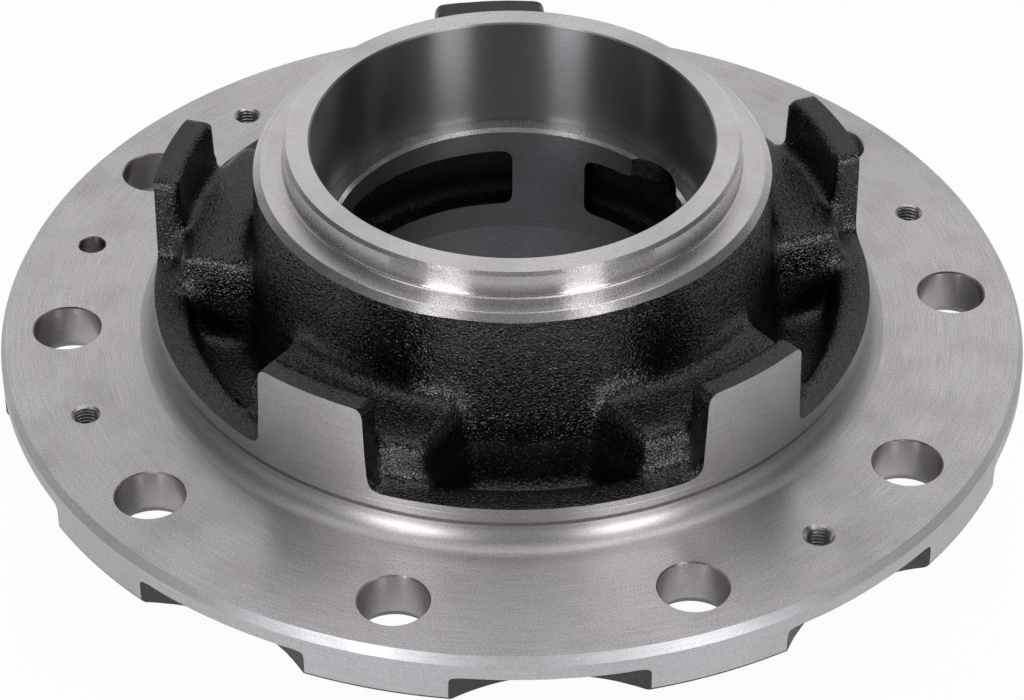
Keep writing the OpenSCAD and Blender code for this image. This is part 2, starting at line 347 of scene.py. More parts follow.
FINISHES: dict[Skin, CastPaint | TurnedIron] = {
    Skin.PAINTED: CastPaint(),
    Skin.FACED: TurnedIron("faced_iron"),
    Skin.GUIDE: TurnedIron(
        "guide_iron",
        colour=(0.575, 0.55, 0.565),
        stain=(0.51, 0.48, 0.47),
        stain_share=0.25,
        roughness=0.42,
        grooving=0.72,
        speckle_depth=0.01,
        speckle_tone=0.25,
    ),
    Skin.COLLAR: TurnedIron(
        "collar_iron",
        colour=(0.72, 0.69, 0.70),
        roughness=0.25,
        grooving=0.96,
        speckle_depth=0.005,
        speckle_tone=0.12,
    ),
    Skin.BORED: TurnedIron(
        "bored_iron",
        colour=(0.42, 0.41, 0.43),
        stain=(0.34, 0.33, 0.34),
        stain_share=0.3,
        grooving=0.97,
        speckle_depth=0.003,
        speckle_tone=0.1,
    ),
    Skin.DRILLED: TurnedIron(
        "drilled_iron",
        colour=(0.52, 0.49, 0.51),
        stain=(0.42, 0.39, 0.39),
        roughness=0.3,
        speckle_tone=0.2,
    ),
    Skin.DULLED: TurnedIron(
        "dulled_iron",
        colour=(0.46, 0.455, 0.49),
        stain=(0.37, 0.37, 0.39),
        roughness=0.38,
        grooving=0.85,
        speckle_tone=0.3,
    ),
    Skin.RIM: TurnedIron(
        "rim_iron",
        colour=(0.56, 0.555, 0.58),
        stain=(0.49, 0.48, 0.50),
        stain_share=0.4,
        roughness=0.47,
        grooving=0.3,
        speckle_tone=0.2,
    ),
}


def skin_materials() -> list[bpy.types.Material]:
    """The hub's materials in slot order, each made once."""
    finishes = [FINISHES[skin] for skin in Skin]
    return [bpy.data.materials.get(finish.name) or finish.material() for finish in finishes]


# ---------------------------------------------------------------- mesh tools


def arc(x: float, y: float, r: float, start: float, end: float, steps: int = 8) -> list[Point]:
    """Points of an arc.

    Args:
        x: centre, first coordinate.
        y: centre, second coordinate.
        r: radius.
        start: first angle, in degrees.
        end: last angle, in degrees.
        steps: number of chords.

    Returns:
        The points, both ends included.
    """
    angles = [math.radians(start + (end - start) * i / steps) for i in range(steps + 1)]
    return [(x + r * math.cos(t), y + r * math.sin(t)) for t in angles]


def mesh_object(
    name: str, points: np.ndarray, faces: list, skins: list[Skin] | Skin = Skin.PAINTED
) -> bpy.types.Object:
    """Makes an object from points in millimetres.

    Args:
        name: the object's name.
        points: corner coordinates, one row each.
        faces: corner numbers of each face.
        skins: one finish for all faces, or one for each.

    Returns:
        The object, with its normals pointing outward.
    """
    mesh = bpy.data.meshes.new(name)
    mesh.from_pydata([tuple(point) for point in np.asarray(points) * MM], [], faces)
    for material in skin_materials():
        mesh.materials.append(material)
    each = skins if isinstance(skins, list) else [skins] * len(faces)
    mesh.polygons.foreach_set("material_index", [skin.value for skin in each])
    build = bmesh.new()
    build.from_mesh(mesh)
    bmesh.ops.recalc_face_normals(build, faces=build.faces)
    build.to_mesh(mesh)
    build.free()
    made = bpy.data.objects.new(name, mesh)
    bpy.context.scene.collection.objects.link(made)
    return made


def turned(
    name: str, outline: list[Point], segments: int = 288, skins: list[Skin] | Skin = Skin.PAINTED
) -> bpy.types.Object:
    """Turns a closed outline of radius and height round the hub's axis.

    Args:
        name: the object's name.
        outline: corners of the section; a corner on the axis becomes one point.
        segments: steps in a full turn.
        skins: one finish, or one for each side of the outline.

    Returns:
        A closed solid of revolution.
    """
    count = len(outline)
    angles = np.arange(segments) * 2 * np.pi / segments
    points, rows = [], []
    for radius, height in outline:
        first = len(points)
        if radius < 1e-6:
            points.append((0.0, 0.0, height))
            rows.append([first] * segments)
        else:
            points.extend((radius * math.cos(a), radius * math.sin(a), height) for a in angles)
            rows.append([first + i for i in range(segments)])
    faces, each = [], []
    for side in range(count):
        low, high = rows[side], rows[(side + 1) % count]
        for i in range(segments):
            j = (i + 1) % segments
            corners = list(dict.fromkeys((low[i], low[j], high[j], high[i])))
            if len(corners) > 2:
                faces.append(corners)
                each.append(skins[side] if isinstance(skins, list) else skins)
    return mesh_object(name, np.array(points), faces, each)


def prism(name: str, bottom: np.ndarray, top: np.ndarray) -> bpy.types.Object:
    """Makes a closed prism between two outlines of as many corners."""
    count = len(bottom)
    sides = [[i, (i + 1) % count, count + (i + 1) % count, count + i] for i in range(count)]
    faces = [list(range(count)), list(range(count, 2 * count))] + sides
    return mesh_object(name, np.vstack([bottom, top]), faces)


def outward(name: str, outline: list[Point], start: float, end: float) -> bpy.types.Object:
    """Extrudes a width and height outline along X."""
    flat = np.array(outline)
    ends = [np.column_stack([np.full(len(flat), x), flat]) for x in (start, end)]
    return prism(name, ends[0], ends[1])


def upward(name: str, outline: list[Point], low: float, high: float) -> bpy.types.Object:
    """Extrudes a plan outline along Z."""
    flat = np.array(outline)
    ends = [np.column_stack([flat, np.full(len(flat), z)]) for z in (low, high)]
    return prism(name, ends[0], ends[1])


def around(source: bpy.types.Object, turns: Iterable[float]) -> bpy.types.Object:
    """Copies a mesh round the hub's axis into one object.

    Args:
        source: what is copied, and then removed.
        turns: the copies' angles, in degrees.

    Returns:
        One object with all the copies.
    """
    build = bmesh.new()
    for turn in turns:
        part = source.data.copy()
        part.transform(Matrix.Rotation(math.radians(turn), 4, "Z"))
        build.from_mesh(part)
        bpy.data.meshes.remove(part)
    mesh = bpy.data.meshes.new(source.name + "_round")
    build.to_mesh(mesh)
    build.free()
    made = bpy.data.objects.new(mesh.name, mesh)
    bpy.context.scene.collection.objects.link(made)
    bpy.data.objects.remove(source)
    return made


def apply_modifiers(target: bpy.types.Object) -> None:
    """Replaces the mesh by what its modifiers make of it, and removes them."""
    graph = bpy.context.evaluated_depsgraph_get()
    mesh = bpy.data.meshes.new_from_object(target.evaluated_get(graph))
    target.modifiers.clear()
    target.data = mesh


def combine(target: bpy.types.Object, tool: bpy.types.Object, join: Join) -> bpy.types.Object:
    """Adds, cuts or intersects a tool, which is used up."""
    step = target.modifiers.new(join.value, "BOOLEAN")
    step.operation = join.value
    step.solver = "MANIFOLD"
    step.object = tool
    apply_modifiers(target)
    bpy.data.objects.remove(tool)
    return target


def coordinates(mesh: bpy.types.Mesh) -> np.ndarray:
    """Corner coordinates of a mesh, in metres."""
    flat = np.empty(len(mesh.vertices) * 3, np.float32)
    mesh.vertices.foreach_get("co", flat)
    return flat.reshape(-1, 3).astype(float)


def normals(mesh: bpy.types.Mesh) -> np.ndarray:
    """Corner normals of a mesh."""
    flat = np.empty(len(mesh.vertices) * 3, np.float32)
    mesh.vertex_normals.foreach_get("vector", flat)
    return flat.reshape(-1, 3).astype(float)


def set_coordinates(mesh: bpy.types.Mesh, points: np.ndarray) -> None:
    """Moves the corners of a mesh."""
    mesh.vertices.foreach_set("co", points.astype(np.float32).ravel())
    mesh.update()


# ---------------------------------------------------------------- the casting


@dataclass(frozen=True)
class Sizes:
    """Sizes that the casting and its cutters share."""

    pilot_r: float = 133.9
    pilot_fillet: float = 7.5
    flange_r: float = 192.4
    flange_t: float = 20.0
    collar_top: float = 80.6
    neck_r: float = 56.0
    nose_low: float = -78.0
    spigot_r: float = 140.5
    spigot_width: float = 15.5
    spigot_low: float = -29.0


@dataclass(frozen=True)
class Region:
    """A ring of the casting that is meshed by itself, as finely as it will be seen.

    Thinning keeps a share of its triangles.
    """

    name: str
    inner: float
    outer: float
    low: float
    high: float
    voxel: float
    rounds: int
    kept: float


REGIONS = (
    Region("inboard", 0, 220, -7.2, 100, voxel=1.4, rounds=34, kept=0.53),
    Region("rim", 142.5, 220, -40, -6.8, voxel=1.1, rounds=2, kept=0.28),
    Region("nose", 0, 146.5, -100, -6.8, voxel=3.0, rounds=4, kept=0.7),
)


@dataclass(frozen=True)
class Casting(Sizes):
    """The rough casting: rings, webs, lugs, scallops and cored pockets, with metal left to turn."""

    allowance: float = 3.0
    lug_steps: int = 360
    turn_steps: int = 240
    pilot_h: float = 16.2
    pilot_width: float = 12.1
    rim_t: float = 9.1
    lug_top: float = 52.0
    lug_half: float = 21.8
    lug_in_r: float = 124.2
    web_half: float = 37.0
    web_top: float = 32.5
    web_out_r: float = 123.7
    barrel_r: float = 95.0
    barrel_foot_r: float = 97.2
    barrel_high: float = 67.9
    floor_z: float = -4.0
    disc_low: float = -20.0
    nose_r: float = 82.0
    nose_root_r: float = 88.6
    scallop_r: float = 65.0
    scallop_in: float = 13.2
    pocket_r: float = 77.0
    pocket_low: float = 0.8
    pocket_high: float = 26.0
    pillar_half: float = 14.26
    pillar_turn: float = 91.75
    bite_middle_r: float = 51.5
    bite_r: float = 20.0
    bite_low: float = 13.4
    bite_high: float = 38.1
    bite_turn: float = 49.0
    lug_turns: tuple[float, ...] = tuple(36 + 72 * k for k in range(5))

    def rings(self) -> bpy.types.Object:
        """Turns the section of barrel, trough, pilot ring, flange and nose."""
        more = self.allowance
        wall_r = self.pilot_r - self.pilot_width
        inner = self.neck_r - more
        ring_r = self.spigot_r - self.spigot_width
        out, face = self.flange_r + more, -self.flange_t - more
        spigot, low = self.spigot_r + more, self.spigot_low - more
        outline = [(inner, self.collar_top + more), (self.barrel_r, self.collar_top + more)]
        outline += [(self.barrel_r, self.barrel_high)]
        outline += arc(self.barrel_foot_r + 9, self.floor_z + 9, 9, 180, 270)
        outline += arc(wall_r - 7, self.floor_z + 6, 6, 270, 360)
        outline += arc(wall_r + 2, self.pilot_h - 2, 2, 180, 90)
        outline += [(self.pilot_r + more, self.pilot_h)]
        outline += [(self.pilot_r + more, self.pilot_fillet + more)]
        outline += [(self.pilot_r + self.pilot_fillet + more, more), (out, more)]
        outline += [(out, face), (spigot, face), (spigot, low), (ring_r + 1, low)]
        outline += arc(ring_r - 6, self.disc_low - 6, 6, 0, 90)
        outline += arc(self.nose_root_r + 6, self.disc_low - 6, 6, 90, 180)
        outline += [(self.nose_r, self.nose_low - more), (inner, self.nose_low - more)]
        return turned("rings", outline, self.turn_steps)

    def web(self) -> bpy.types.Object:
        """Makes the web behind one lug, with its rounded edges and its root on the barrel."""
        low, foot, spread, corner = self.floor_z - 2, 3.0, 3.0, 9.0
        root = self.barrel_r - 6
        face = self.web_out_r + foot
        side = self.web_half + spread - corner
        section = [(root, low), (face + 1, low), (face + 1, self.pilot_h - 1)]
        section += arc(self.web_out_r + 1 + foot, self.pilot_h + foot, foot, 270, 180)
        section += arc(self.web_out_r - 5.5, self.web_top - 6.7, 5.5, 0, 90)
        section += [(root, self.web_top)]
        made = turned("web", section, self.turn_steps)
        edge = 5.5
        outline = [(-self.web_half - spread, low), (self.web_half + spread, low)]
        outline += arc(self.web_half - edge, self.web_top - edge, edge, 0, 90)
        outline += arc(-self.web_half + edge, self.web_top - edge, edge, 90, 180)
        combine(made, outward("web_front", outline, root, face + foot), Join.KEEP)
        plan = [(root - 6, -self.web_half - spread)]
        plan += arc(face - corner, -side, corner, -90, 0) + arc(face - corner, side, corner, 0, 90)
        plan += [(root - 6, self.web_half + spread)]
        return combine(made, upward("web_plan", plan, low - 1, self.web_top + 1), Join.KEEP)

    def web_root(self) -> bpy.types.Object:
        """Makes the fillet between the barrel and the top of one web."""
        r = 5.0
        wall, end = self.barrel_r + 1.05, self.web_top - 0.3 + r
        section = [(wall - 6, self.web_top - 1), (wall + r, self.web_top - 1)]
        section += arc(wall + r, end, r, 270, 180) + [(wall - 6, end)]
        made = turned("web_root", section, self.turn_steps)
        half, top, round_r = self.web_half - 1, self.web_top + r, 10.0
        outline = [(-half, self.web_top - 2), (half, self.web_top - 2)]
        outline += arc(half - round_r, top - round_r, round_r, 0, 90)
        outline += arc(-half + round_r, top - round_r, round_r, 90, 180)
        return combine(made, outward("root_front", outline, wall / 2, wall + 2 * r), Join.KEEP)

    def lug(self) -> bpy.types.Object:
        """Makes one lug, drafted on its sides and back and rounded at its corners."""
        low, corner, edge, lean = self.pilot_h - 4, 3.0, 1.6, 1.6
        reach = self.pilot_r + self.allowance
        section = [(self.lug_in_r - lean, low), (reach, low), (reach, self.lug_top)]
        section += arc(self.lug_in_r + edge, self.lug_top - edge, edge, 90, 180)
        made = turned("lug", section, self.lug_steps)
        outline = [(-self.lug_half - lean, low), (self.lug_half + lean, low)]
        outline += arc(self.lug_half - corner, self.lug_top - corner, corner, 0, 90)
        outline += arc(-self.lug_half + corner, self.lug_top - corner, corner, 90, 180)
        combine(made, outward("lug_front", outline, self.lug_in_r - 6, reach + 1), Join.KEEP)
        angle = math.asin((self.lug_half + lean) / self.pilot_r)
        ahead, aside = 2 * reach * math.cos(angle), 2 * reach * math.sin(angle)
        wedge = [(0, 0), (ahead, -aside), (ahead, aside)]
        return combine(made, upward("lug_plan", wedge, low - 1, self.lug_top + 1), Join.KEEP)

    def scallops(self) -> bpy.types.Object:
        """Makes the ten scallops under the rim, between the studs."""
        middle = self.flange_r - self.scallop_in + self.scallop_r
        plan = arc(middle, 0, self.scallop_r, 0, 360, 120)[:-1]
        made = upward("scallop", plan, -self.rim_t - 30, -self.rim_t)
        return around(made, [36 * k for k in range(10)])

    def pockets(self) -> bpy.types.Object:
        """Makes the core of the four pockets round the bore."""
        low, high, r, corner = self.pocket_low, self.pocket_high, 4.4, 3.2
        inner = self.neck_r - self.allowance - 3
        middle = self.pocket_r - r
        section = [(inner, low)]
        section += arc(middle, low + r, r, 270, 360) + arc(middle, high - r, r, 0, 90)
        section += [(inner, high)]
        core = turned("pockets", section, self.turn_steps)
        half = self.pillar_half
        outline = [(-half - corner, low - 1), (half + corner, low - 1)]
        outline += arc(half + corner, low + corner, corner, 270, 180)
        outline += arc(half + corner, high - corner, corner, 180, 90)
        outline += [(half + corner, high + 1), (-half - corner, high + 1)]
        outline += arc(-half - corner, high - corner, corner, 90, 0)
        outline += arc(-half - corner, low + corner, corner, 0, -90)
        pillar = outward("pillar", outline, inner - 6, self.pocket_r + 6)
        turns = [self.pillar_turn + 90 * k for k in range(4)]
        return combine(core, around(pillar, turns), Join.CUT)

    def ring_scallops(self) -> bpy.types.Object:
        """Makes the two scallops that uncover the bearing's outer ring."""
        plan = arc(self.bite_middle_r, 0, self.bite_r, 0, 360, 64)[:-1]
        made = upward("ring_scallop", plan, self.bite_low, self.bite_high)
        return around(made, [self.bite_turn, self.bite_turn + 180])

    def solid(self) -> bpy.types.Object:
        """Puts the sharp form of the casting together."""
        made = self.rings()
        combine(made, self.scallops(), Join.CUT)
        combine(made, around(self.web(), self.lug_turns), Join.ADD)
        combine(made, around(self.web_root(), self.lug_turns), Join.ADD)
        combine(made, around(self.lug(), self.lug_turns), Join.ADD)
        combine(made, self.pockets(), Join.CUT)
        combine(made, self.ring_scallops(), Join.CUT)
        return made

    def region(self, source: bpy.types.Object, ring: Region) -> bpy.types.Object:
        """Copies the part of the sharp form that lies in a ring.

        Args:
            source: the sharp form, which stays.
            ring: the region.

        Returns:
            The cut-out region.
        """
        piece = bpy.data.objects.new(ring.name, source.data.copy())
        bpy.context.scene.collection.objects.link(piece)
        inner, outer, low, high = ring.inner, ring.outer, ring.low, ring.high
        outline = [(inner, low), (outer, low), (outer, high), (inner, high)]
        return combine(piece, turned(ring.name + "_ring", outline), Join.KEEP)

    def mould(self, piece: bpy.types.Object, ring: Region) -> None:
        """Meshes a region evenly, rounds it, grains it and thins its even parts."""
        step = piece.modifiers.new("mould", "REMESH")
        step.mode = "VOXEL"
        step.voxel_size = ring.voxel * MM
        apply_modifiers(piece)
        round_off(piece, ring.rounds)
        sand_grain(piece)
        thinned = piece.modifiers.new("thin", "DECIMATE")
        thinned.ratio = ring.kept
        apply_modifiers(piece)

    def moulded(self) -> bpy.types.Object:
        """Rounds the sharp form as a mould does, region by region.

        The regions meet only where turning removes the skin.
        """
        sharp = self.solid()
        pieces = [self.region(sharp, ring) for ring in REGIONS]
        bpy.data.objects.remove(sharp)
        for piece, ring in zip(pieces, REGIONS):
            self.mould(piece, ring)
        inboard, rim, nose = pieces
        combine(nose, rim, Join.ADD)
        return combine(inboard, nose, Join.ADD)


CORE_R = 84.0
CORE_ROUNDS = 5
EDGE_ROUNDS = 3
FILL, BREAK, WEAR = 0.55, 0.5, 0.04
SAND = ((45.0, 0.22), (150.0, 0.10), (330.0, 0.05))


def round_off(piece: bpy.types.Object, rounds: int) -> None:
    """Fills inner corners with fillets and breaks outer edges a little.

    Inside CORE_R the skin was shaped by a core, with tighter corners. Outer edges are broken in the
    first rounds, and hardly worn after them.

    Args:
        piece: the evenly meshed casting.
        rounds: how often the corners are relaxed; more of it makes wider fillets.
    """
    mesh = piece.data
    edges = np.empty(len(mesh.edges) * 2, np.int64)
    mesh.edges.foreach_get("vertices", edges)
    a, b = edges.reshape(-1, 2).T
    count = len(mesh.vertices)
    degree = (np.bincount(a, minlength=count) + np.bincount(b, minlength=count))[:, None]
    points = coordinates(mesh)
    cored = np.hypot(points[:, 0], points[:, 1]) < CORE_R * MM
    for step in range(rounds):
        total = np.empty_like(points)
        for axis in range(3):
            column = points[:, axis]
            total[:, axis] = np.bincount(a, column[b], count) + np.bincount(b, column[a], count)
        pull = total / degree - points
        facing = (pull * normals(mesh)).sum(1, keepdims=True)
        share = np.where(facing > 0, FILL, BREAK if step < EDGE_ROUNDS else WEAR)
        if step >= CORE_ROUNDS:
            share[cored] = 0
        points = points + pull * share
        set_coordinates(mesh, points)


def sand_grain(piece: bpy.types.Object) -> None:
    """Moves the skin along its normals by the waves, lumps and coarse grain of a sand mould."""
    mesh = piece.data
    points = coordinates(mesh)
    facing = normals(mesh)
    shift = np.empty(len(points))
    for i, point in enumerate(points):
        shift[i] = sum(depth * noise.noise(Vector(point) * scale) for scale, depth in SAND)
    set_coordinates(mesh, points + facing * shift[:, None] * MM)


# ---------------------------------------------------------------- cutting


@dataclass(frozen=True)
class Machining(Sizes):
    """The cutters that turn, bore, drill and tap the casting."""

    past: float = 6.0
    groove_low: float = 8.3
    land_low: float = 13.2
    collar_r: float = 83.8
    collar_low: float = 70.3
    collar_edge: float = 1.2
    shoulder_r: float = 92.6
    shoulder_bevel: float = 6.4
    seat_r: float = 74.0
    seat_low: float = 36.1
    bore_r: float = 67.2
    outer_seat_r: float = 60.0
    outer_seat_end: float = 44.0
    cap_r: float = 68.0
    cap_depth: float = 12.0
    nose_end_r: float = 80.5
    stud_circle_r: float = 167.5
    lathe_steps: int = 288

    def collar(self) -> bpy.types.Object:
        """Cutter for the seal collar, its shoulder and the bevel to the barrel."""
        r, top, low, edge = self.collar_r, self.collar_top, self.collar_low, self.collar_edge
        inner, shoulder, out = self.seat_r - self.past, self.shoulder_r, 107.0
        end = low - self.shoulder_bevel
        outline = [(inner, top), (r - edge, top), (r, top - edge)]
        outline += arc(r + edge, low + edge, edge, 180, 270)
        outline += [(shoulder - 0.3, low), (shoulder, low - 0.12)]
        outline += [(shoulder + self.shoulder_bevel, end), (out, end)]
        outline += [(out, top + self.past), (inner, top + self.past)]
        return turned("collar_cut", outline, self.lathe_steps, Skin.COLLAR)

    def face(self) -> bpy.types.Object:
        """Cutter for lugs, pilot, groove, fillet, flange face and rim."""
        r, rim, out, top = self.pilot_r, self.flange_r, self.flange_r + 9, 60.0
        low, fillet, end = self.groove_low, self.pilot_fillet, self.spigot_low - self.past
        outline = [(r, top), (r, self.land_low + 0.15), (r + 0.12, self.land_low)]
        outline += [(r + 0.12, low + 2.1), (r - 0.15, low + 1.95)]
        outline += [(r - 1.7, low + 1.6), (r - 1.7, low + 0.4), (r - 0.3, low)]
        outline += arc(r - 0.3 + fillet, fillet, fillet, 180, 270, 12)[1:]
        skins = [Skin.GUIDE] * (len(outline) - 2)
        outline += [(rim - 1.9, 0.0), (rim, -3.6)]
        skins += [Skin.FACED] * (len(outline) - 2 - len(skins))
        outline += [(rim, end), (out, end), (out, top)]
        skins += [Skin.RIM] * (len(outline) - len(skins))
        return turned("face_cut", outline, self.lathe_steps, skins)

    def outboard(self) -> bpy.types.Object:
        """Cutter for the wheel's face, its spigot and the rim's lower edge."""
        r, low, face, rim = self.spigot_r, self.spigot_low, -self.flange_t, self.flange_r
        ring, out = r - self.spigot_width - self.past, rim + self.past
        past, edge = low - self.past, 1.5
        outline = [(ring, low), (r - edge, low), (r, low + edge), (r, face)]
        foot = arc(rim - edge, face + edge, edge, 270, 360, 6)
        end = [(out, face + edge), (out, past), (ring, past)]
        skins = [Skin.FACED] * len(outline) + [Skin.PAINTED] * len(foot) + [Skin.FACED] * len(end)
        return turned("outboard_cut", outline + foot + end, self.lathe_steps, skins)

    def nose(self) -> bpy.types.Object:
        """Cutter for the end of the nose."""
        low, end, inner, bevel = self.nose_low, self.nose_end_r, self.neck_r - self.past, 7.5
        outline = [(inner, low), (end, low), (end + bevel, low + bevel)]
        outline += [(end + bevel, low - self.past), (inner, low - self.past)]
        return turned("nose_cut", outline, self.lathe_steps, Skin.FACED)

    def bore(self) -> bpy.types.Object:
        """Cutter for both bearing seats, the bore between them and the cap's recess."""
        seat, low, mid, neck = self.seat_r, self.seat_low, self.bore_r, self.neck_r
        top, nose, past = self.collar_top, self.nose_low, self.past
        outer, cap = self.outer_seat_r, self.cap_r
        end, step = nose + self.outer_seat_end, nose + self.cap_depth
        outline = [(0, top + past), (seat + past + 0.6, top + past), (seat, top - 0.6)]
        outline += [(seat, low + 2.0), (seat + 0.5, low + 1.5), (seat + 0.5, low)]
        skins = [Skin.BORED] * (len(outline) - 1)
        outline += [(mid + 1.3, low), (mid, low - 1.3)]
        skins += [Skin.COLLAR] * 2
        outline += [(mid, -10), (neck, end + 5)]
        skins += [Skin.DULLED] * 2
        outline += [(neck, end + 0.5), (neck + 0.5, end), (outer, end)]
        outline += [(outer, step + 0.5), (outer + 0.5, step), (cap, step), (cap, nose + 1)]
        outline += [(cap + past + 1, nose - past), (0, nose - past)]
        skins += [Skin.BORED] * (len(outline) - len(skins))
        return turned("bore_cut", outline, self.lathe_steps, skins)

    def drill(
        self, name: str, radius: float, above: Point, below: Point, segments: int
    ) -> bpy.types.Object:
        """Cutter for a hole through the flange, on the stud circle at angle 0.

        Args:
            name: the cutter's name.
            radius: the hole's radius.
            above: radius and depth of the chamfer at the face with the lugs.
            below: radius and depth of the countersink at the wheel's side.
            segments: corners round the hole.

        Returns:
            The closed cutter.
        """
        low, past = -self.flange_t, 3.0
        flare = [(wide - radius) / depth * past for wide, depth in (above, below)]
        heights = [low - past, low + below[1], -above[1], past]
        sizes = [below[0] + flare[1], radius, radius, above[0] + flare[0]]
        turns = np.arange(segments) * 2 * np.pi / segments
        points = [
            (self.stud_circle_r + size * math.cos(t), size * math.sin(t), height)
            for size, height in zip(sizes, heights)
            for t in turns
        ]
        faces = [list(range(segments)), list(range(3 * segments, 4 * segments))]
        for row in range(3):
            first = row * segments
            for i in range(segments):
                j = (i + 1) % segments
                faces.append([first + i, first + j, first + segments + j, first + segments + i])
        return mesh_object(name, np.array(points), faces, Skin.DRILLED)

    def tap(self, name: str, sink: Point) -> bpy.types.Object:
        """Cutter for one M10 thread at angle 0: a screw-shaped rod, joined to its countersinks.

        Args:
            name: the cutter's name.
            sink: radius and depth of the countersink at the face with the lugs.

        Returns:
            The closed cutter.
        """
        pitch, segments, turns = 1.5, 32, 18
        crest, root = 5.0, 4.25
        low = -self.flange_t - 4.5
        profile = [(0.0, root), (0.16, root), (0.56, crest), (0.72, crest)]
        rows = turns * len(profile)
        lift = len(profile)
        points, number = [], {}
        for column in range(segments):
            extra = lift if column == 0 else 0
            for row in range(rows + extra):
                share, radius = profile[row % lift]
                height = low + (row // lift + share + column / segments) * pitch
                angle = 2 * math.pi * column / segments
                number[column, row] = len(points)
                x, y = radius * math.cos(angle), radius * math.sin(angle)
                points.append((self.stud_circle_r + x, y, height))
        faces = []
        for column in range(segments):
            for row in range(rows - 1):
                last = column == segments - 1
                right = (0, row + lift) if last else (column + 1, row)
                above = (right[0], right[1] + 1)
                left, higher = number[column, row], number[column, row + 1]
                faces.append([left, number[right], number[above], higher])
        for row in (0, rows - 1):
            ring = [number[column, row] for column in range(segments)]
            ring += [number[0, row + lift - k] for k in range(lift)]
            hub = len(points)
            points.append((self.stud_circle_r, 0.0, points[ring[0]][2] + pitch / 2))
            faces += [[ring[i], ring[(i + 1) % len(ring)], hub] for i in range(len(ring))]
        rod = mesh_object(name, np.array(points), faces, Skin.DRILLED)
        return combine(rod, self.drill(name + "_sink", root, sink, (5.4, 1.15), 48), Join.ADD)

    def cut(self, casting: bpy.types.Object) -> bpy.types.Object:
        """Runs all the cutters over the casting."""
        for cutter in (self.collar(), self.face(), self.outboard(), self.nose(), self.bore()):
            combine(casting, cutter, Join.CUT)
        stud = self.drill("stud_drill", 12.5, (13.0, 0.5), (14.6, 3.6), 96)
        combine(casting, around(stud, [18 + 36 * k for k in range(10)]), Join.CUT)
        combine(casting, around(self.tap("tap", (5.35, 0.7)), [36, 144, 216]), Join.CUT)
        combine(casting, around(self.tap("wide_tap", (5.9, 1.0)), [-36]), Join.CUT)
        dowel = self.drill("dowel_drill", 5.1, (5.45, 0.35), (5.4, 0.3), 48)
        return combine(casting, around(dowel, [180]), Join.CUT)


@dataclass
class WheelHub:
    """The finished hub, one solid piece of iron."""

    name: str = "wheel_hub"
    skin_edge: float = 60.0
    tool_edge: float = 14.0
    casting: Casting = field(default_factory=Casting)
    machining: Machining = field(default_factory=Machining)

    def build(self) -> bpy.types.Object:
        """Casts, cuts and dresses the hub."""
        piece = self.machining.cut(self.casting.moulded())
        piece.name = self.name
        piece.data.name = self.name
        self.shade(piece.data)
        return piece

    def shade(self, mesh: bpy.types.Mesh) -> None:
        """Shades the skin smooth, and keeps edges sharp where a tool left them."""
        build = bmesh.new()
        build.from_mesh(mesh)
        painted = Skin.PAINTED.value
        for face in build.faces:
            face.smooth = True
        for edge in build.edges:
            if len(edge.link_faces) != 2:
                continue
            kinds = [face.material_index == painted for face in edge.link_faces]
            limit = math.radians(self.skin_edge if all(kinds) else self.tool_edge)
            edge.smooth = kinds[0] == kinds[1] and edge.calc_face_angle(0.0) < limit
        build.to_mesh(mesh)
        build.free()


# ---------------------------------------------------------------- the studio


@dataclass(frozen=True)
class Softbox:
    """A soft light that hangs far away, as a patch of the sky.

    Azimuths count anticlockwise from the camera's right, so that the camera stands at 270 degrees.
    """

    azimuth: float
    half_width: float
    low: float
    high: float
    level: float
    blur: float = 4.0


SOFTBOXES = (
    Softbox(240, 9, -5, 26, 8.3),
    Softbox(303, 9, -5, 26, 7.6),
    Softbox(207, 18, -5, 16, 0.4, 8.0),
    Softbox(331, 18, -5, 16, 0.5, 8.0),
    Softbox(270, 20, -5, 16, 0.2, 8.0),
    Softbox(90, 15, 22, 65, 0.42),
    Softbox(90, 45, 5, 65, 0.34, 10.0),
    Softbox(180, 45, 62, 92, 1.85, 8.0),
    Softbox(0, 45, 62, 92, 2.5, 8.0),
    Softbox(90, 45, 68, 92, 0.3, 8.0),
    Softbox(50, 22, 10, 50, 0.32, 8.0),
    Softbox(130, 22, 10, 50, 0.16, 8.0),
    Softbox(270, 45, 68, 92, 0.9, 8.0),
)


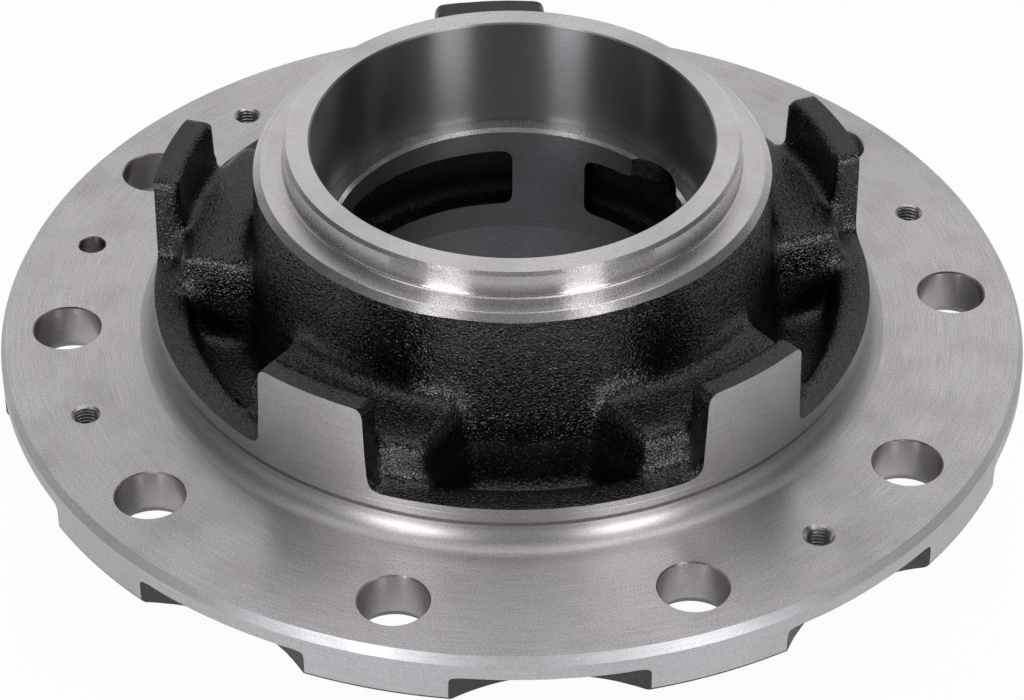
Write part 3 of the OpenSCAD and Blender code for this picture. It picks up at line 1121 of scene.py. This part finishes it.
@dataclass
class Studio:
    """Floor, light and camera of a plain product photograph."""

    turn: float = 14.0
    elevation: float = 38.449
    roll: float = 0.133
    distance: float = 1361.94
    focal_mm: float = 126.59
    shift: Point = (0.016, 15.222)
    sensor_mm: float = 36.0
    floor_z: float = -78.0
    floor_half: float = 12000.0
    floor_tone: float = 0.82
    floor_white: float = 0.96
    floor_mirrored: float = 0.8
    floor_clear: Point = (0.17, 0.26)
    glow: float = 0.1

    def view_axes(self) -> np.ndarray:
        """The camera's right, up and forward directions, one in each row."""
        tilt, roll, turn = (math.radians(a) for a in (self.elevation, self.roll, self.turn))
        forward = np.array([0, math.cos(tilt), -math.sin(tilt)])
        right = np.array([1.0, 0, 0])
        up = np.cross(right, forward)
        rolled = math.cos(roll) * right + math.sin(roll) * up
        upright = -math.sin(roll) * right + math.cos(roll) * up
        spin = np.array(Matrix.Rotation(turn, 3, "Z"))
        return np.array([rolled, upright, forward]) @ spin.T

    def camera(self) -> None:
        """Sets the camera where the photograph was taken from."""
        right, up, forward = self.view_axes()
        spot = -(self.shift[0] * right + self.shift[1] * up + self.distance * forward) * MM
        lens = bpy.data.cameras.new("camera")
        lens.sensor_width = self.sensor_mm
        lens.lens = self.focal_mm
        lens.clip_end = 50
        made = bpy.data.objects.new("camera", lens)
        bpy.context.scene.collection.objects.link(made)
        basis = Matrix(np.column_stack([right, up, -forward]).tolist()).to_4x4()
        made.matrix_world = Matrix.Translation(spot) @ basis
        bpy.context.scene.camera = made

    def floor(self) -> None:
        """Lays a wide pale floor that shows white and still takes a faint shadow."""
        size = self.floor_half
        corners = np.array([(-size, -size, 0), (size, -size, 0), (size, size, 0), (-size, size, 0)])
        made = mesh_object("floor", corners + (0, 0, self.floor_z), [[0, 1, 2, 3]])
        material, graph = new_material("white_floor")
        path = graph.add("ShaderNodeLightPath").socket.node.outputs
        seen, mirrored = (Value(graph, path[ray]) for ray in ("Is Camera Ray", "Is Glossy Ray"))
        tone = (self.floor_tone,) * 3
        diffuse = graph.add("ShaderNodeBsdfDiffuse", None, {"Color": (*tone, 1.0)})
        glow = graph.add("ShaderNodeEmission", None, {"Color": (1, 1, 1, 1), "Strength": 1.0})
        clear = graph.step(graph.vector_math("LENGTH", graph.place(), output=1), *self.floor_clear)
        share = seen * self.floor_white + mirrored * clear * self.floor_mirrored
        mixed = graph.add("ShaderNodeMixShader", None, {0: share, 1: diffuse, 2: glow})
        graph.add("ShaderNodeOutputMaterial", None, {"Surface": mixed})
        made.data.materials.clear()
        made.data.materials.append(material)

    def softbox(self, graph: Graph, box: Softbox) -> Value:
        """Shows one softbox in the sky.

        Args:
            graph: the world's nodes.
            box: the softbox.

        Returns:
            Its radiance in each direction.
        """
        x, y, z = graph.parts(graph.add("ShaderNodeTexCoord"))
        turn = math.radians(box.azimuth + self.turn)
        ahead = x * math.cos(turn) + y * math.sin(turn)
        across = y * math.cos(turn) - x * math.sin(turn)
        aside = graph.math("ABSOLUTE", graph.math("ARCTAN2", across, ahead))
        middle = math.radians((box.low + box.high) / 2)
        rise = graph.math("ABSOLUTE", graph.math("ARCSINE", z) - middle)
        share = box.level
        for distance, half in ((aside, box.half_width), (rise, (box.high - box.low) / 2)):
            start, end = math.radians(half - box.blur / 2), math.radians(half + box.blur / 2)
            share = share * graph.step(distance, start, end, (1.0, 0.0))
        return share

    def world(self) -> None:
        """Lights the room with the softboxes, on top of a faint glow."""
        world = bpy.data.worlds.new("studio")
        world.use_nodes = True
        bpy.context.scene.world = world
        graph = Graph(world.node_tree)
        level = sum((self.softbox(graph, box) for box in SOFTBOXES), start=self.glow)
        path = graph.add("ShaderNodeLightPath")
        seen = Value(graph, path.socket.node.outputs["Is Camera Ray"])
        room = graph.add("ShaderNodeBackground", None, {"Color": (1, 1, 1, 1), "Strength": level})
        white = graph.add("ShaderNodeBackground", None, {"Color": (1, 1, 1, 1), "Strength": 1.0})
        mixed = graph.add("ShaderNodeMixShader", None, {0: seen, 1: room, 2: white})
        graph.add("ShaderNodeOutputWorld", None, {"Surface": mixed})

    def build(self) -> None:
        """Sets floor, world and camera."""
        bpy.context.scene.view_settings.view_transform = "Standard"
        self.floor()
        self.world()
        self.camera()


def main() -> None:
    """Builds the hub and the studio, and reports them."""
    logging.basicConfig(level=logging.INFO, format="%(name)s: %(message)s")
    piece = WheelHub().build()
    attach(piece, "root")
    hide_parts("hub")
    triangles = sum(len(face.vertices) - 2 for face in piece.data.polygons)
    log.info("%s: %d triangles", piece.name, triangles)
    Studio().build()


if __name__ == "__main__":
    main()
